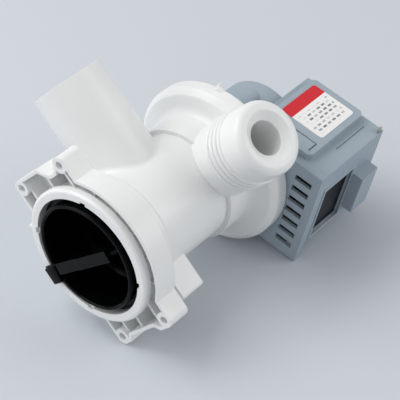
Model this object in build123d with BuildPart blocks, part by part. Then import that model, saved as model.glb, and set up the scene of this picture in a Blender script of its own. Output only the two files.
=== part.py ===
from build123d import *
from math import cos, pi, radians, sin, tan
import os

os.makedirs("parts", exist_ok=True)

# The shaft is the Y axis: the filter mouth is at the front (-Y), the motor at the back (+Y).
# The plane through the front faces of the screw ears is y = 0.
# The pump lies rolled by 45 degrees, as in the photo: the outlet nozzle points right and up,
# the inlet tube left and up. All sizes are in millimetres and degrees.

# roll of the ports, and of the motor block
port_roll = 45.0
motor_roll = 13.9

# mouth collar and filter chamber
lip_y = -3.8
mouth_r = 33.0
collar_r = 38.0
neck_r = 36.2
lip_depth = 4.4
lip_round = 1.6
bezel_room = 1.6
lip_nick = 1.4
seal_seat_r = 30.2
seal_seat_y = 12.8
seal_seat_depth = 9.8
chamber_r = 27.2
housing_wall = 2.5
chamber_end_y = 72.2
eye_plate = 2.0
eye_r = 15.0

# screw ears and flange tray
ear_hole_r = 2.2
ear_hole_x = 19.9
ear_hole_z = 45.1
ear_wall = 1.8
ear_side = 24.3
ear_top = 49.3
ear_step = 2.9
notch_depth = 5.7
notch_slope = 2.1
tray_back_y = 12.7
tray_floor = 2.0
tray_rib = 1.6
rib_front_y = 2.1
upper_rib_x = (-16.6, 1.8, 17.2)
lower_rib_x = (-15.6, -2.4, 13.2)
skirt_r = 42.6
foot_side = 13.0
foot_low = 45.0
foot_y = (21.7, 37.0)

# inlet tube
inlet_y = 45.7
inlet_r = 20.0
inlet_wall = 2.5
inlet_end = 77.7
inlet_blend = 4.0
inlet_seat = 42.0
inlet_draft = 0.6

# bayonet ramps inside the collar and lugs on the cap
ramp_count = 4
ramp_middle = 97.0
ramp_inner_r = 31.2
ramp_span = 56.0
ramp_thickness = 1.8
thread_lead = 24.0
thread_gap = 0.3
lug_span = 12.0
lug_thickness = 2.2
lug_y = 9.6
lug_angle = 75.5
unlock_turn = 60.0

# cap, seal and basket
cap_clearance = 0.4
rim_front_y = -5.2
rim_r = 30.0
cap_front_y = 0.7
cap_rim = 2.3
lug_root_r = 30.8
bowl_r = 27.9
bowl_wall = 1.8
bowl_floor_y = 20.4
cap_plug_r = 29.8
groove_y = 14.4
groove_width = 3.2
groove_r = 28.7
grip_front_y = -6.8
grip_step = 0.9
grip_width = 6.2
grip_offset = -1.4
grip_tilt = -6.0
grip_left = -35.6
grip_slope_left = -26.0
grip_step_x = -7.0
grip_right = 20.4
basket_r = 26.4
basket_base_y = 25.2
basket_end_y = 66.0
basket_bars = 8
basket_bar = 2.6

# volute
weld_ring_r = 31.9
weld_front_y = 70.0
disc_r = 45.7
disc_front_y = 87.2
disc_back_y = 98.7
rim_slope = 3.0
back_step = 1.0
volute_wall = 2.7
volute_blend = 5.0
seal_width = 2.5
flange_seat_y = 93.8
latch_nub = 4.0
latch_angle = 42.0

# outlet nozzle
outlet_y = 80.2
outlet_r = 19.5
outlet_bore_r = 9.1
outlet_mouth_r = 13.5
outlet_root_r = 7.8
outlet_seat = 30.1
outlet_end = 67.5
outlet_root = 22.0
ridge_start = 39.0
ridge_pitch = 3.5
ridge_groove = 1.1
ridge_count = 3

# wet end: impeller, dog and shaft
shaft_r = 1.5
shaft_front_y = 76.4
shaft_back_y = 136.0
running = 0.05
impeller_r = 23.5
impeller_front_y = 75.4
impeller_back_y = 91.0
vane_count = 7
vane_width = 1.8
hub_r = 8.2
hub_floor_y = 79.0
dog_r = 6.0
dog_room = 0.3
dog_half_angle = 35.0
dog_hub_r = 3.4
dog_back_y = 87.5

# rotor, can and bearings
can_r = 11.0
can_wall = 1.3
can_room = 0.4
can_end_y = 137.6
flange_y = 96.2
flange_plate = 3.2
magnet_r = 10.0
magnet_y = (108.2, 129.2)
sleeve_r = 3.6
bearing_r = 4.0
rear_bearing_y = 131.2
bearing_length = 5.0
front_bearing_y = 98.0
front_bearing_length = 7.0
washer = 0.8

# motor block
motor_front_y = 100.1
endplate = 5.0
motor_back_y = 155.0
barrel_r = 26.4
barrel_back_y = 139.8
motor_side = 60.8
motor_half = 32.2
motor_wall = 2.0
plateau_top = 36.1
plateau_start = 14.0
plateau_inset = 12.8
plateau_y = (105.1, 153.2)
slot_count = 7
slot_pitch = 7.75
slot_top = 22.9
slot_size = (10.4, 3.6)
slot_inset = 9.9
window_y = (108.4, 133.4)
window_w = (-18.0, 18.0)
box_u = 10.0
box_low = 30.0
box_corner = (12.0, 9.6)
rail_inset = 7.8
rail_width = 4.0
barrel_boss_angle = 97.0
barrel_boss_r = 4.4
barrel_boss_y = 122.0
tongue_u = (22.0, 44.6)
tongue_y = (108.0, 114.8)
tongue_gap = 0.7
strip_groove_inset = 8.6
strip_groove_y = (124.0, 149.0)

# stator
stack_y = (109.2, 136.2)
leg_w = (8.5, 19.5)
leg_end_u = -13.0
yoke_inset = 2.4
yoke_depth = 10.4
pole_r = 13.0
bobbin_length = 27.2
bobbin_to_yoke = 2.4
bobbin_wall = 1.2
bobbin_gap = 0.1
winding_depth = 2.6

# label, plug and tab
label_size = (27.0, 29.0)
label_centre = (30.8, 134.6)
label_thickness = 0.3
plug_y = (134.2, 148.2)
plug_w = (-12.0, 14.0)
plug_height = 7.2
plug_base = 4.0
blade = (0.8, 6.3)
blade_w = (-5.5, 7.5)
blade_start_y = 136.2
blade_end_y = 146.0
tab_inset = 1.0
tab_y = 151.9
tab_width = 3.0
tab_low_w = 24.0
tab_top_w = 35.2

outlet_dir = Vector(cos(radians(port_roll)), 0, sin(radians(port_roll)))
inlet_dir = Vector(-sin(radians(port_roll)), 0, cos(radians(port_roll)))
grip_dir = Vector(cos(radians(port_roll + grip_tilt)), 0, sin(radians(port_roll + grip_tilt)))
grip_up = Vector(-sin(radians(port_roll + grip_tilt)), 0, cos(radians(port_roll + grip_tilt)))
side_dir = Vector(cos(radians(motor_roll)), 0, -sin(radians(motor_roll)))
label_dir = Vector(sin(radians(motor_roll)), 0, cos(radians(motor_roll)))


def port_face(y):
    # plane across the shaft, seen from the front: x is the outlet, y the inlet, depth is negative
    return Plane((0, y, 0), x_dir=outlet_dir, z_dir=(0, -1, 0))


def ray_plane(angle):
    # plane on the shaft that faces outwards at an angle from the outlet: x runs anticlockwise
    out = outlet_dir * cos(radians(angle)) + inlet_dir * sin(radians(angle))
    along = inlet_dir * cos(radians(angle)) - outlet_dir * sin(radians(angle))
    return Plane((0, 0, 0), x_dir=along, z_dir=out)


def motor_face(y):
    # plane across the motor, seen from the front: x is its open side, y the label's side
    return Plane((0, y, 0), x_dir=side_dir, z_dir=(0, -1, 0))


def motor_side_face(u):
    # plane along the shaft, seen from the yoke's side: x is the shaft, y the label's side
    return Plane(side_dir * u, x_dir=(0, 1, 0), z_dir=side_dir)


def motor_top_face(w):
    # plane along the shaft, seen from the label's side: x is the yoke's side, y the shaft
    return Plane(label_dir * w, x_dir=side_dir, z_dir=label_dir)


def ring(r_in, r_out, y0, y1):
    # profile of a plain ring round the shaft
    return [(r_in, y0), (r_out, y0), (r_out, y1), (r_in, y1)]


flange_seat_r = disc_r - volute_wall
inlet_bore_r = inlet_r - inlet_wall
drum_r = weld_ring_r + 0.4
back_r = disc_r - back_step
seal_ledge_r = flange_seat_r - seal_width
disc_edge_y = disc_front_y + 1.4
slot_u = motor_side - slot_inset
rail_u = motor_side - rail_inset
strip_groove_u = motor_side - strip_groove_inset
plateau_u = (plateau_start, motor_side - plateau_inset)
yoke_u = (motor_side - yoke_inset - yoke_depth, motor_side - yoke_inset)
bobbin_u = (yoke_u[0] - bobbin_to_yoke - bobbin_length, yoke_u[0] - bobbin_to_yoke)
plug_side = motor_side + plug_height
tab_u = motor_side - tab_inset
climb = thread_lead / (2 * pi * mouth_r)
ramp_half = mouth_r * sin(radians(ramp_span / 2))
lug_half = mouth_r * sin(radians(lug_span / 2))
ramp_mid_y = lug_y - thread_gap - climb * (ramp_half - lug_half)
seat_back_y = seal_seat_y + seal_seat_depth
seal_front_y = groove_y + 0.1
seal_back_y = groove_y + groove_width - 0.1
tube_r = chamber_r + housing_wall
seat_tube_r = seal_seat_r + housing_wall
skirt_rib_r = (neck_r + skirt_r) / 2 - 0.7
rib_reach = ear_top - collar_r + 3.7
rib_mid = ear_top - ear_step - 0.4 - rib_reach / 2
dog_reach = 3 * dog_r
dog_flare = dog_reach * tan(radians(dog_half_angle))

with BuildSketch() as tray_outline:
    with BuildLine():
        Polyline(
            (-ear_side, -ear_top), (-15.4, -ear_top), (-12.6, -ear_top + ear_step),
            (9.0, -ear_top + ear_step), (12.8, -ear_top), (ear_side, -ear_top), (ear_side, -35.4),
        )
        ThreePointArc((ear_side, -35.4), (skirt_r, -3.0), (ear_side, 35.0))
        Polyline(
            (ear_side, 35.0), (ear_side, ear_top), (18.6, ear_top), (12.6, ear_top - notch_depth),
            (7.4, ear_top - notch_depth), (2.6, ear_top - notch_slope), (0.4, ear_top),
            (-ear_side, ear_top), (-ear_side, -ear_top),
        )
    make_face()
    corners = [v for v in tray_outline.vertices() if abs(v.X) > 20 and abs(v.Y) > 40]
    fillet(corners, 3.6)

with BuildPart() as collar_ramps:
    # straight planks cut to the inside of the collar
    for k in range(ramp_count):
        with BuildSketch(ray_plane(ramp_middle + 360 / ramp_count * k)):
            with BuildLine():
                Polyline(
                    (-ramp_half, -ramp_mid_y - climb * ramp_half),
                    (ramp_half, -ramp_mid_y + climb * ramp_half),
                    (ramp_half, -ramp_mid_y + climb * ramp_half + ramp_thickness),
                    (-ramp_half, -ramp_mid_y - climb * ramp_half + ramp_thickness),
                    close=True,
                )
            make_face()
        extrude(amount=collar_r)
    with BuildSketch(Plane.XY):
        with BuildLine():
            Polyline(*ring(ramp_inner_r, mouth_r + 1, lip_y, tray_back_y), close=True)
        make_face()
    revolve(axis=Axis.Y, mode=Mode.INTERSECT)

with BuildPart() as filter_housing:
    # chamber and inlet tube with their soft blend
    with BuildSketch(port_face(tray_back_y)):
        Circle(tube_r)
    extrude(amount=tray_back_y - chamber_end_y)
    with BuildSketch(Plane((0, inlet_y, 0), x_dir=(0, 1, 0), z_dir=outlet_dir)):
        with BuildLine():
            Polyline(
                (0, 0), (inlet_r + inlet_draft, 0), (inlet_r, inlet_end - inlet_seat),
                (inlet_r, inlet_end), (0, inlet_end), close=True,
            )
        make_face()
    revolve(axis=Axis((0, inlet_y, 0), inlet_dir))
    blend = [e for e in filter_housing.edges() if e.geom_type not in (GeomType.LINE, GeomType.CIRCLE)]
    fillet([e for e in blend if e.length > 40], inlet_blend)
    # foot behind the lower ears
    with BuildSketch(port_face((foot_y[0] + foot_y[1]) / 2)):
        with Locations((0, -foot_low / 2)):
            Rectangle(2 * foot_side, foot_low)
    extrude(amount=(foot_y[1] - foot_y[0]) / 2, both=True)
    down = Axis((0, 0, 0), -inlet_dir)
    foot_edges = filter_housing.edges().filter_by_position(down, foot_low - 0.1, foot_low + 0.1)
    fillet(foot_edges.filter_by(Axis.Y), 2.0)
    # tray, collar and the step round the seal seat
    with BuildSketch(port_face(0)):
        add(tray_outline.sketch)
    extrude(amount=-tray_back_y)
    with BuildSketch(port_face(0)):
        offset(tray_outline.sketch, amount=-ear_wall)
    extrude(amount=tray_floor - tray_back_y, mode=Mode.SUBTRACT)
    with BuildSketch(port_face(0)):
        Circle(collar_r + bezel_room)
    extrude(amount=-bezel_room, mode=Mode.SUBTRACT)
    with BuildSketch(Plane.XY):
        with BuildLine():
            Polyline(
                (mouth_r, lip_y), (collar_r, lip_y), (collar_r, lip_y + lip_depth),
                (neck_r, lip_y + lip_depth + 1.6), (neck_r, tray_back_y),
                (seat_tube_r, tray_back_y + 2), (seat_tube_r, seat_back_y),
                (tube_r - 1, seat_back_y + 4), (chamber_r, seat_back_y + 4),
                (mouth_r, seal_seat_y), close=True,
            )
        make_face()
    revolve(axis=Axis.Y)
    # ribs across the tray and in the skirt's channel, screw bosses, snap nub
    with BuildSketch(port_face(rib_front_y)):
        with Locations(*[(x, rib_mid) for x in upper_rib_x], *[(x, -rib_mid) for x in lower_rib_x]):
            Rectangle(tray_rib, rib_reach)
        with PolarLocations(skirt_rib_r, 5, start_angle=-44, angular_range=85.5, endpoint=True):
            Rectangle(skirt_r - neck_r + 0.6, tray_rib)
    extrude(amount=rib_front_y - tray_back_y)
    with BuildSketch(port_face(0)):
        with GridLocations(2 * ear_hole_x, 2 * ear_hole_z, 2, 2):
            Circle(ear_side - ear_hole_x)
    extrude(amount=-tray_back_y)
    with BuildSketch(port_face(rib_front_y)):
        with PolarLocations(collar_r, 1, start_angle=143):
            Rectangle(5, 2.6)
    extrude(amount=rib_front_y - tray_back_y)
    # hollows
    with BuildSketch(port_face(-1)):
        with GridLocations(2 * ear_hole_x, 2 * ear_hole_z, 2, 2):
            Circle(ear_hole_r)
    extrude(amount=-tray_back_y - 2, mode=Mode.SUBTRACT)
    with BuildSketch(Plane.XY):
        with BuildLine():
            Polyline(
                (0, lip_y - 1), (mouth_r, lip_y - 1), (mouth_r, seal_seat_y - 0.6),
                (seal_seat_r, seal_seat_y + 0.6),
                (seal_seat_r, seat_back_y), (chamber_r, seat_back_y + 2),
                (chamber_r, chamber_end_y - eye_plate), (eye_r, chamber_end_y - eye_plate),
                (eye_r, chamber_end_y + 1), (0, chamber_end_y + 1), close=True,
            )
        make_face()
    revolve(axis=Axis.Y, mode=Mode.SUBTRACT)
    with BuildSketch(Plane((0, inlet_y, 0), x_dir=(0, 1, 0), z_dir=outlet_dir)):
        with BuildLine():
            Polyline(
                (0, 0), (inlet_bore_r - inlet_draft, 0), (inlet_bore_r, inlet_end - inlet_seat),
                (inlet_bore_r, inlet_end + 1), (0, inlet_end + 1), close=True,
            )
        make_face()
    revolve(axis=Axis((0, inlet_y, 0), inlet_dir), mode=Mode.SUBTRACT)
    with BuildSketch(Plane(inlet_dir * -(tube_r + 1.5), x_dir=(0, 1, 0), z_dir=-inlet_dir)):
        with Locations(((foot_y[0] + foot_y[1]) / 2, 0)):
            Rectangle(foot_y[1] - foot_y[0] - 4, 2 * foot_side - 4)
    extrude(amount=foot_low, mode=Mode.SUBTRACT)
    # cap ramps, their entries nicked into the lip, rounded lip
    add(collar_ramps.part)
    with BuildSketch(port_face(lip_y)):
        with PolarLocations(mouth_r, ramp_count, start_angle=lug_angle + unlock_turn):
            Rectangle(2.4, 3.4)
    extrude(amount=-lip_nick, mode=Mode.SUBTRACT)
    lip_edges = filter_housing.edges().filter_by_position(Axis.Y, lip_y - 0.01, lip_y + 0.01)
    fillet(lip_edges.filter_by(GeomType.CIRCLE).sort_by(SortBy.RADIUS)[-1], lip_round)

with BuildPart() as volute_housing:
    # solid of revolution first: weld socket, pump drum, disc with its sloping front edge
    with BuildSketch(Plane.XY):
        with BuildLine():
            Polyline(
                (0, weld_front_y), (weld_ring_r, weld_front_y), (drum_r, chamber_end_y + 1.2),
                (drum_r, disc_front_y), (disc_r - rim_slope, disc_edge_y), (disc_r, disc_edge_y + rim_slope),
                (disc_r, disc_back_y), (back_r, disc_back_y), (back_r, motor_front_y),
                (0, motor_front_y), close=True,
            )
        make_face()
    revolve(axis=Axis.Y)
    rounds = volute_housing.edges().filter_by(GeomType.CIRCLE)
    fillet([e for e in rounds if e.radius > disc_r - rim_slope - 1 and e.center().Y < disc_back_y - 3], 1.6)
    inner = volute_housing.edges().filter_by(GeomType.CIRCLE).filter_by_position(
        Axis.Y, disc_front_y - 0.1, disc_front_y + 0.1
    )
    fillet(inner.sort_by(SortBy.RADIUS)[0], volute_blend)
    # outlet nozzle with ridges, round end bead and funnel mouth
    with BuildSketch(Plane((0, outlet_y, 0), x_dir=outlet_dir, z_dir=inlet_dir)):
        with BuildLine():
            Polyline(
                (outlet_root, 0), (outlet_root, outlet_r - 0.5), (ridge_start, outlet_r - 0.5),
                (ridge_start, outlet_r), (outlet_end, outlet_r), (outlet_end, 0), close=True,
            )
        make_face()
        with Locations(*[(ridge_start + ridge_pitch * (k + 1), outlet_r) for k in range(ridge_count)]):
            RegularPolygon(ridge_groove, 4, mode=Mode.SUBTRACT)
    revolve(axis=Axis((0, outlet_y, 0), outlet_dir))
    end_edges = volute_housing.edges().filter_by(GeomType.CIRCLE)
    fillet([e for e in end_edges if e.center().dot(outlet_dir) > outlet_end - 0.1], 4.2)
    # hollows
    with BuildSketch(Plane.XY):
        with BuildLine():
            Polyline(
                (0, weld_front_y - 10), (tube_r, weld_front_y - 10), (tube_r, chamber_end_y),
                (tube_r - 0.9, chamber_end_y), (drum_r - volute_wall, chamber_end_y + 2.8),
                (drum_r - volute_wall, disc_front_y + volute_wall),
                (seal_ledge_r, disc_edge_y + volute_wall), (seal_ledge_r, flange_seat_y),
                (flange_seat_r, flange_seat_y), (flange_seat_r, motor_front_y + 1),
                (0, motor_front_y + 1), close=True,
            )
        make_face()
    revolve(axis=Axis.Y, mode=Mode.SUBTRACT)
    with BuildSketch(Plane((0, outlet_y, 0), x_dir=outlet_dir, z_dir=inlet_dir)):
        with BuildLine():
            Polyline(
                (outlet_root - 2, 0), (outlet_root - 2, outlet_root_r),
                (outlet_end - 3.4 - outlet_seat, outlet_bore_r), (outlet_end - 3.4, outlet_bore_r),
                (outlet_end, outlet_mouth_r), (outlet_end + 1, outlet_mouth_r),
                (outlet_end + 1, 0), close=True,
            )
        make_face()
    revolve(axis=Axis((0, outlet_y, 0), outlet_dir), mode=Mode.SUBTRACT)
    # latch nub on the disc's back rim
    with BuildSketch(port_face(disc_back_y)):
        with PolarLocations(disc_r, 1, start_angle=latch_angle):
            Triangle(a=latch_nub * 1.6, b=latch_nub, c=latch_nub, rotation=-90)
    extrude(amount=3.0)

with BuildPart() as cap_lugs:
    # short planks cut to the edge of the cap
    for k in range(ramp_count):
        with BuildSketch(ray_plane(lug_angle + 360 / ramp_count * k)):
            with BuildLine():
                Polyline(
                    (-lug_half, -lug_y - climb * lug_half), (lug_half, -lug_y + climb * lug_half),
                    (lug_half, -lug_y + climb * lug_half - lug_thickness),
                    (-lug_half, -lug_y - climb * lug_half - lug_thickness), close=True,
                )
            make_face()
        extrude(amount=collar_r)
    with BuildSketch(Plane.XY):
        with BuildLine():
            Polyline(*ring(lug_root_r - 1, mouth_r - cap_clearance, lip_y, tray_back_y), close=True)
        make_face()
    revolve(axis=Axis.Y, mode=Mode.INTERSECT)

with BuildPart() as filter_cap:
    # bowl with proud rim, flange, lug wall and seal groove
    with BuildSketch(Plane.XY):
        with BuildLine():
            Polyline(
                (bowl_r, rim_front_y + 0.6), (bowl_r + 0.6, rim_front_y), (rim_r - 0.6, rim_front_y),
                (rim_r, rim_front_y + 0.6), (rim_r, cap_front_y), (mouth_r - cap_clearance, cap_front_y),
                (mouth_r - cap_clearance, cap_front_y + cap_rim), (lug_root_r, cap_front_y + cap_rim + 0.4),
                (lug_root_r, seal_seat_y - 0.6), (cap_plug_r, seal_seat_y + 0.6),
                (cap_plug_r, groove_y), (groove_r, groove_y), (groove_r, groove_y + groove_width),
                (cap_plug_r, groove_y + groove_width), (cap_plug_r, bowl_floor_y + 0.6),
                (cap_plug_r - 1.4, bowl_floor_y + bowl_wall), (0, bowl_floor_y + bowl_wall),
                (0, bowl_floor_y), (bowl_r - 3.6, bowl_floor_y), (bowl_r - 1.2, bowl_floor_y - 1.6),
                (bowl_r - 0.4, bowl_floor_y - 4.0), close=True,
            )
        make_face()
    revolve(axis=Axis.Y)
    add(cap_lugs.part)
    # grip: front bar with a step, web down to the bowl's floor, sloping tip past the lip
    with BuildSketch(Plane((0, bowl_floor_y + 0.5, 0), x_dir=grip_dir, z_dir=(0, -1, 0))):
        with Locations(((grip_slope_left + grip_right) / 2, grip_offset)):
            Rectangle(grip_right - grip_slope_left - 1, grip_width - 2.6)
    extrude(amount=bowl_floor_y + 0.5 - grip_front_y - 2)
    with BuildSketch(Plane(grip_up * (grip_offset - grip_width / 2), x_dir=grip_dir, z_dir=grip_up)):
        with BuildLine():
            Polyline(
                (grip_right, grip_front_y), (grip_step_x, grip_front_y),
                (grip_step_x, grip_front_y + grip_step), (grip_slope_left, grip_front_y + grip_step),
                (grip_left, lip_y - 1.4), (grip_left + 0.8, lip_y - 0.6),
                (grip_slope_left, lip_y - 0.6), (grip_slope_left, lip_y + 3),
                (grip_right, lip_y + 3), close=True,
            )
        make_face()
    extrude(amount=grip_width)

with BuildPart() as cap_seal:
    with BuildSketch(Plane.XY):
        with BuildLine():
            Polyline(*ring(groove_r + running, seal_seat_r - running, seal_front_y, seal_back_y), close=True)
        make_face()
    revolve(axis=Axis.Y)
    chamfer(cap_seal.edges().filter_by(GeomType.CIRCLE), 0.4)

with BuildPart() as filter_basket:
    with BuildSketch(Plane.XY):
        with BuildLine():
            Polyline(*ring(0, basket_r - 3, bowl_floor_y + bowl_wall, basket_base_y + 2), close=True)
        make_face()
        with BuildLine():
            Polyline(*ring(basket_r - 3, basket_r, basket_base_y, basket_base_y + 2), close=True)
        make_face()
        with BuildLine():
            Polyline(*ring(basket_r - basket_bar, basket_r, basket_end_y - 3, basket_end_y), close=True)
        make_face()
    revolve(axis=Axis.Y)
    with BuildSketch(port_face(basket_base_y)):
        with PolarLocations(basket_r - 0.2 - basket_bar / 2, basket_bars):
            Rectangle(basket_bar, basket_bar)
    extrude(amount=basket_base_y - basket_end_y)

with BuildPart() as impeller:
    # back disc, hub cup and vanes
    with BuildSketch(Plane.XY):
        with BuildLine():
            Polyline(
                (0, impeller_front_y), (hub_r - 3, impeller_front_y), (hub_r, impeller_front_y + 3),
                (hub_r, impeller_back_y - 2), (impeller_r, impeller_back_y - 2), (impeller_r, impeller_back_y),
                (dog_r + dog_room, impeller_back_y), (dog_r + dog_room, hub_floor_y),
                (0, hub_floor_y), close=True,
            )
        make_face()
    revolve(axis=Axis.Y)
    with BuildSketch(port_face(impeller_front_y + 3)):
        with PolarLocations((hub_r + impeller_r) / 2 - 0.5, vane_count):
            Rectangle(impeller_r - hub_r + 1, vane_width)
    extrude(amount=impeller_front_y + 5 - impeller_back_y)
    # bore for the shaft end and the stop inside the hub
    with BuildSketch(port_face(hub_floor_y)):
        Circle(shaft_r + running)
    extrude(amount=hub_floor_y - shaft_front_y + running, mode=Mode.SUBTRACT)
    with BuildSketch(port_face(hub_floor_y)):
        with BuildLine():
            Polyline((0, 0), (dog_flare, dog_reach), (-dog_flare, dog_reach), close=True)
        make_face()
        Circle(dog_r + dog_room + 0.5, mode=Mode.INTERSECT)
        Circle(dog_hub_r + dog_room, mode=Mode.SUBTRACT)
    extrude(amount=hub_floor_y - dog_back_y)

with BuildPart() as hub_plug:
    with BuildSketch(Plane.XY):
        with BuildLine():
            Polyline(*ring(shaft_r + running, dog_r + dog_room, dog_back_y + dog_room, impeller_back_y), close=True)
        make_face()
    revolve(axis=Axis.Y)

with BuildPart() as drive_dog:
    with BuildSketch(port_face(hub_floor_y + dog_room)):
        with BuildLine():
            Polyline((0, 0), (dog_flare, -dog_reach), (-dog_flare, -dog_reach), close=True)
        make_face()
        Circle(dog_r, mode=Mode.INTERSECT)
        Circle(dog_hub_r)
        Circle(shaft_r, mode=Mode.SUBTRACT)
    extrude(amount=hub_floor_y + dog_room - dog_back_y)

with BuildPart() as rotor_shaft:
    with BuildSketch(port_face(shaft_front_y)):
        Circle(shaft_r)
    extrude(amount=shaft_front_y - shaft_back_y)
    chamfer(rotor_shaft.edges().filter_by(GeomType.CIRCLE), 0.3)

with BuildPart() as rotor_sleeve:
    with BuildSketch(Plane.XY):
        with BuildLine():
            Polyline(
                (shaft_r, magnet_y[0] - 1), (magnet_r - 2, magnet_y[0] - 1), (magnet_r - 2, magnet_y[0]),
                (sleeve_r, magnet_y[0]), (sleeve_r, magnet_y[1]), (magnet_r - 2, magnet_y[1]),
                (magnet_r - 2, magnet_y[1] + 1), (shaft_r, magnet_y[1] + 1), close=True,
            )
        make_face()
    revolve(axis=Axis.Y)

with BuildPart() as rotor_magnet:
    with BuildSketch(Plane.XY):
        with BuildLine():
            Polyline(*ring(sleeve_r, magnet_r, *magnet_y), close=True)
        make_face()
    revolve(axis=Axis.Y)

with BuildPart() as thrust_washer_front:
    with BuildSketch(port_face(magnet_y[0] - 1 - washer)):
        Circle(bearing_r - 0.4)
        Circle(shaft_r, mode=Mode.SUBTRACT)
    extrude(amount=-washer)

with BuildPart() as thrust_washer_rear:
    with BuildSketch(port_face(magnet_y[1] + 1)):
        Circle(bearing_r - 0.4)
        Circle(shaft_r, mode=Mode.SUBTRACT)
    extrude(amount=-washer)

with BuildPart() as front_bearing:
    with BuildSketch(port_face(front_bearing_y)):
        Circle(bearing_r)
        Circle(shaft_r + running, mode=Mode.SUBTRACT)
    extrude(amount=-front_bearing_length)

with BuildPart() as rear_bearing:
    with BuildSketch(port_face(rear_bearing_y)):
        Circle(bearing_r)
        Circle(shaft_r + running, mode=Mode.SUBTRACT)
    extrude(amount=-bearing_length)

with BuildPart() as shaft_seal:
    with BuildSketch(Plane.XY):
        with BuildLine():
            Polyline(
                (shaft_r + running, front_bearing_y - 2.6), (bearing_r + 1, front_bearing_y - 2.6),
                (bearing_r + 1, front_bearing_y), (shaft_r + 1, front_bearing_y),
                (shaft_r + running, front_bearing_y - 1.2), close=True,
            )
        make_face()
    revolve(axis=Axis.Y)

with BuildPart() as bearing_carrier:
    with BuildSketch(Plane.XY):
        with BuildLine():
            Polyline(
                (bearing_r + 1, front_bearing_y - 2.6), (can_r + 3, front_bearing_y - 2.6),
                (can_r + 3, flange_y), (can_r, flange_y), (can_r, front_bearing_y + front_bearing_length),
                (bearing_r, front_bearing_y + front_bearing_length), (bearing_r, front_bearing_y),
                (bearing_r + 1, front_bearing_y), close=True,
            )
        make_face()
    revolve(axis=Axis.Y)

with BuildPart() as rotor_can:
    with BuildSketch(Plane.XY):
        with BuildLine():
            Polyline(
                (can_r, flange_y), (flange_seat_r - 0.1, flange_y), (flange_seat_r - 0.1, flange_y + flange_plate),
                (can_r + can_wall, flange_y + flange_plate), (can_r + can_wall, can_end_y), (0, can_end_y),
                (0, rear_bearing_y + bearing_length), (bearing_r, rear_bearing_y + bearing_length),
                (bearing_r, rear_bearing_y), (can_r, rear_bearing_y), close=True,
            )
        make_face()
    revolve(axis=Axis.Y)

with BuildPart() as volute_seal:
    with BuildSketch(Plane.XY):
        with BuildLine():
            Polyline(*ring(flange_seat_r - seal_width, flange_seat_r, flange_seat_y, flange_y), close=True)
        make_face()
    revolve(axis=Axis.Y)

leg_mid_w = (leg_w[0] + leg_w[1]) / 2
leg_mid_y = (stack_y[0] + stack_y[1]) / 2
tube_half_w = (leg_w[1] - leg_w[0]) / 2 + bobbin_gap + bobbin_wall
tube_half_y = (stack_y[1] - stack_y[0]) / 2 + bobbin_gap + bobbin_wall
cheek = winding_depth + 0.6

with BuildPart() as motor_endplate:
    # shallow tray: slotted plate with a rim that meets the housing
    with BuildSketch(motor_face(motor_front_y)):
        Circle(barrel_r)
        with Locations((motor_side / 2, 0)):
            Rectangle(motor_side, 2 * motor_half)
    extrude(amount=-endplate)
    with BuildSketch(motor_face(motor_front_y + motor_wall)):
        Circle(barrel_r - motor_wall)
        with Locations((motor_side / 2, 0)):
            Rectangle(motor_side - 2 * motor_wall, 2 * (motor_half - motor_wall))
    extrude(amount=motor_wall - endplate, mode=Mode.SUBTRACT)
    with BuildSketch(motor_face(motor_front_y)):
        Circle(can_r + can_wall + can_room)
        with Locations(*[(slot_u, slot_top - slot_pitch * k) for k in range(slot_count)]):
            Rectangle(*slot_size)
    extrude(amount=-endplate, mode=Mode.SUBTRACT)

with BuildSketch() as box_outline:
    with BuildLine():
        Polyline(
            (box_u, -box_low), (motor_side - box_corner[0], -box_low), (motor_side, -box_low + box_corner[1]),
            (motor_side, motor_half), (box_u, motor_half), close=True,
        )
    make_face()

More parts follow.
